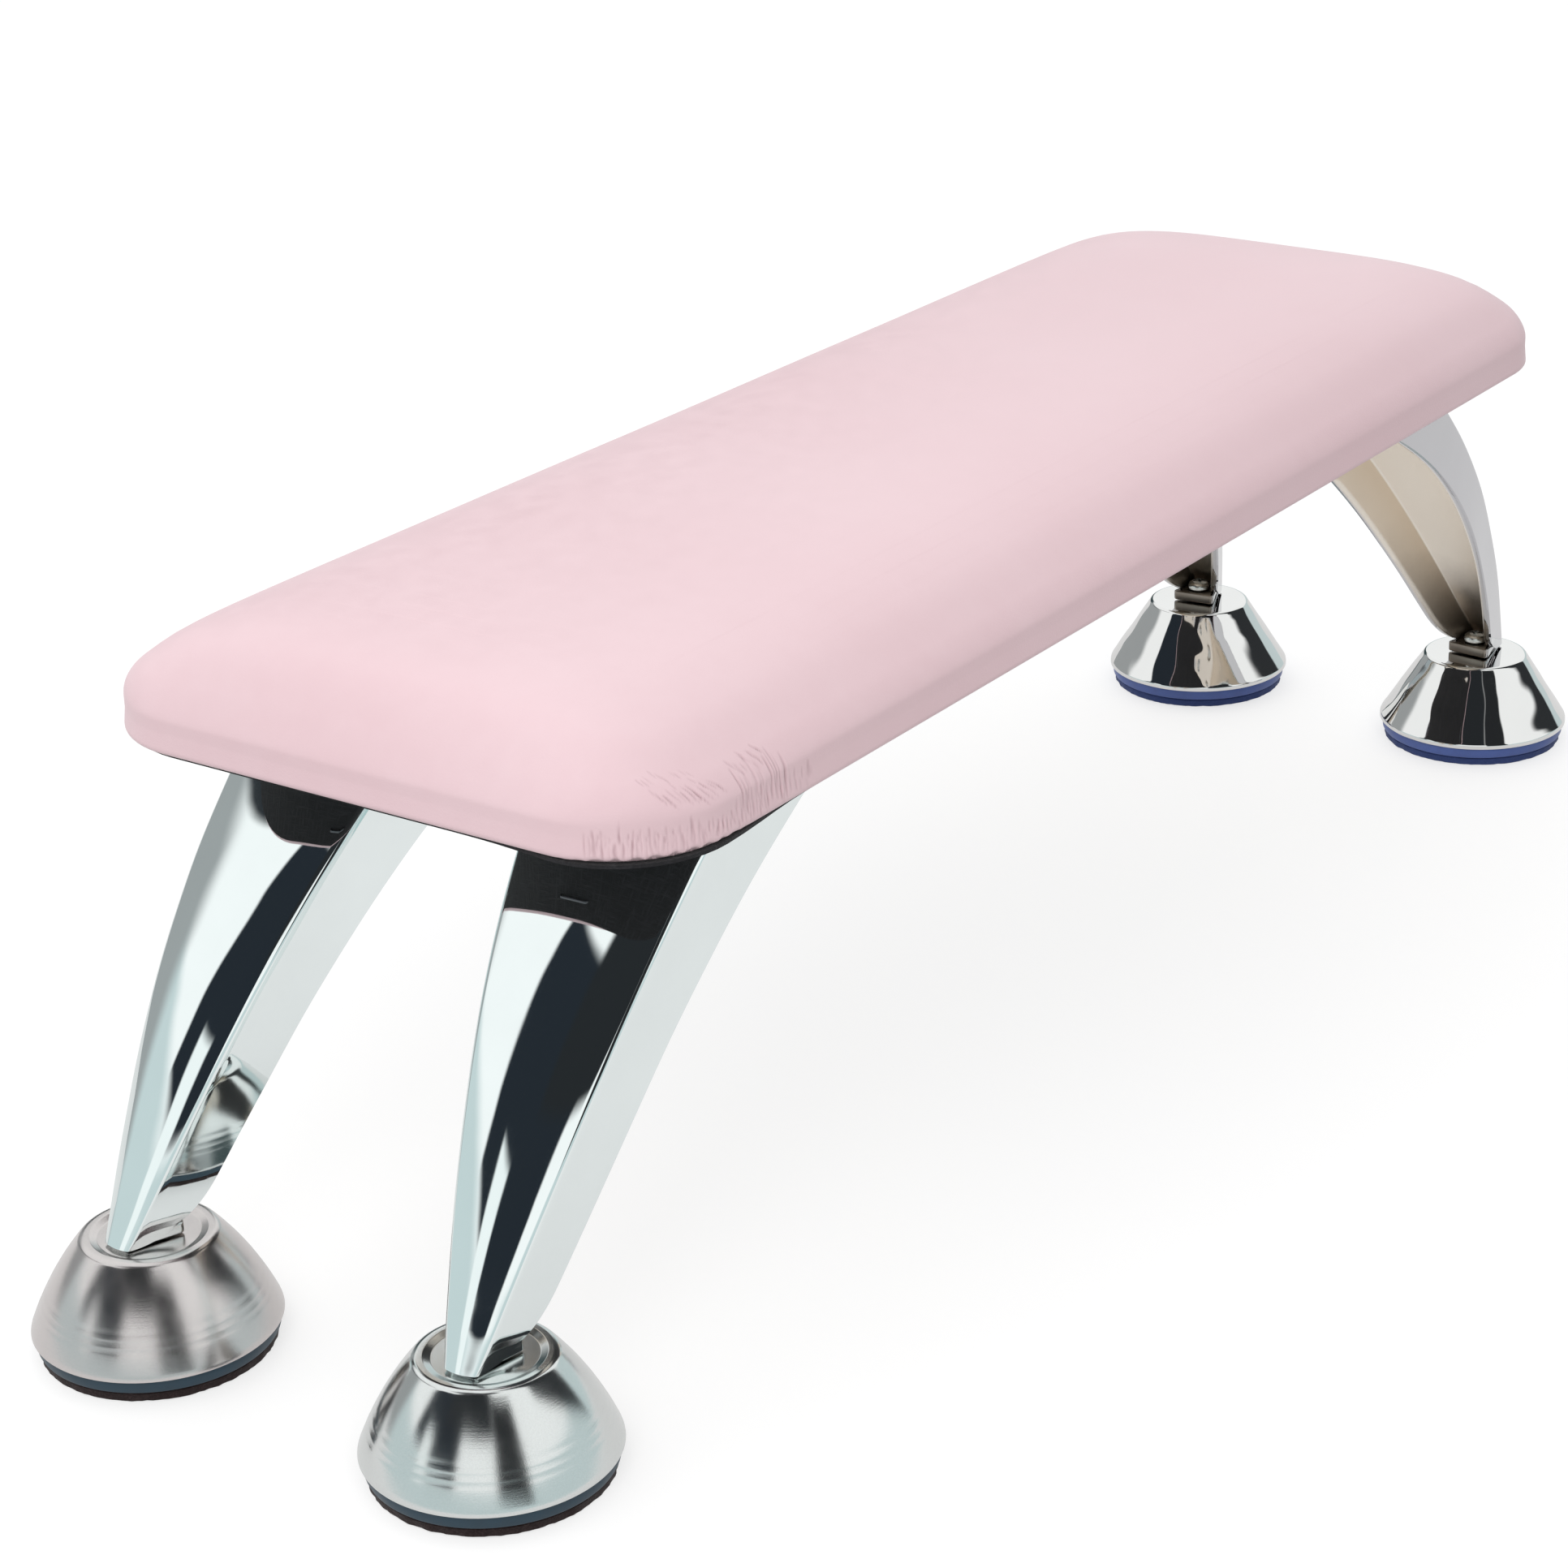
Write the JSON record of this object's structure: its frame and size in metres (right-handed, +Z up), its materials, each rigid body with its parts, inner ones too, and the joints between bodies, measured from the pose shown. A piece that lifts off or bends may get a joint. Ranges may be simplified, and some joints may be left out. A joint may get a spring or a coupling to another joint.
{
  "type": "manicure hand rest",
  "caption": "Manicure hand rest: long padded cushion in pale pink artificial leather on chromed horn-shaped legs with round cone feet.",
  "frame": {"origin": "on the table under the middle of the pad, midway between the four feet", "axes": "+X along the pad towards its rear end, +Y across it to its left side, +Z up"},
  "size_m": [0.4084, 0.121, 0.1222],
  "materials": {
    "pink_leather": "smooth artificial leather, soft sheen",
    "foam": "upholstery foam, matte",
    "plywood": "bare plywood, matte",
    "dust_cloth": "black non-woven cloth, matte",
    "staple_steel": "plain steel wire, satin",
    "chrome": "mirror polished",
    "zinc_screw": "zinc plated, satin",
    "blue_plastic": "moulded plastic, satin",
    "felt": "pressed felt, matte"
  },
  "bodies": {
    "root": {"leather_cover": "pink_leather", "foam_cushion": "foam", "base_board": "plywood", "dust_cloth": "dust_cloth", "staple_01": "staple_steel", "staple_02": "staple_steel", "staple_03": "staple_steel", "staple_04": "staple_steel", "staple_05": "staple_steel", "staple_06": "staple_steel", "staple_07": "staple_steel", "staple_08": "staple_steel", "staple_09": "staple_steel", "staple_10": "staple_steel", "staple_11": "staple_steel", "staple_12": "staple_steel", "leg_front_left": "chrome", "foot_shell_front_left": "chrome", "foot_ring_front_left": "blue_plastic", "foot_felt_front_left": "felt", "foot_nut_front_left": "zinc_screw", "foot_bolt_front_left": "zinc_screw", "leg_screw_front_left_1": "zinc_screw", "leg_screw_front_left_2": "zinc_screw", "leg_screw_front_left_3": "zinc_screw", "leg_front_right": "chrome", "foot_shell_front_right": "chrome", "foot_ring_front_right": "blue_plastic", "foot_felt_front_right": "felt", "foot_nut_front_right": "zinc_screw", "foot_bolt_front_right": "zinc_screw", "leg_screw_front_right_1": "zinc_screw", "leg_screw_front_right_2": "zinc_screw", "leg_screw_front_right_3": "zinc_screw", "leg_rear_left": "chrome", "foot_shell_rear_left": "chrome", "foot_ring_rear_left": "blue_plastic", "foot_felt_rear_left": "felt", "foot_nut_rear_left": "zinc_screw", "foot_bolt_rear_left": "zinc_screw", "leg_screw_rear_left_1": "zinc_screw", "leg_screw_rear_left_2": "zinc_screw", "leg_screw_rear_left_3": "zinc_screw", "leg_rear_right": "chrome", "foot_shell_rear_right": "chrome", "foot_ring_rear_right": "blue_plastic", "foot_felt_rear_right": "felt", "foot_nut_rear_right": "zinc_screw", "foot_bolt_rear_right": "zinc_screw", "leg_screw_rear_right_1": "zinc_screw", "leg_screw_rear_right_2": "zinc_screw", "leg_screw_rear_right_3": "zinc_screw"}
  },
  "joints": []
}
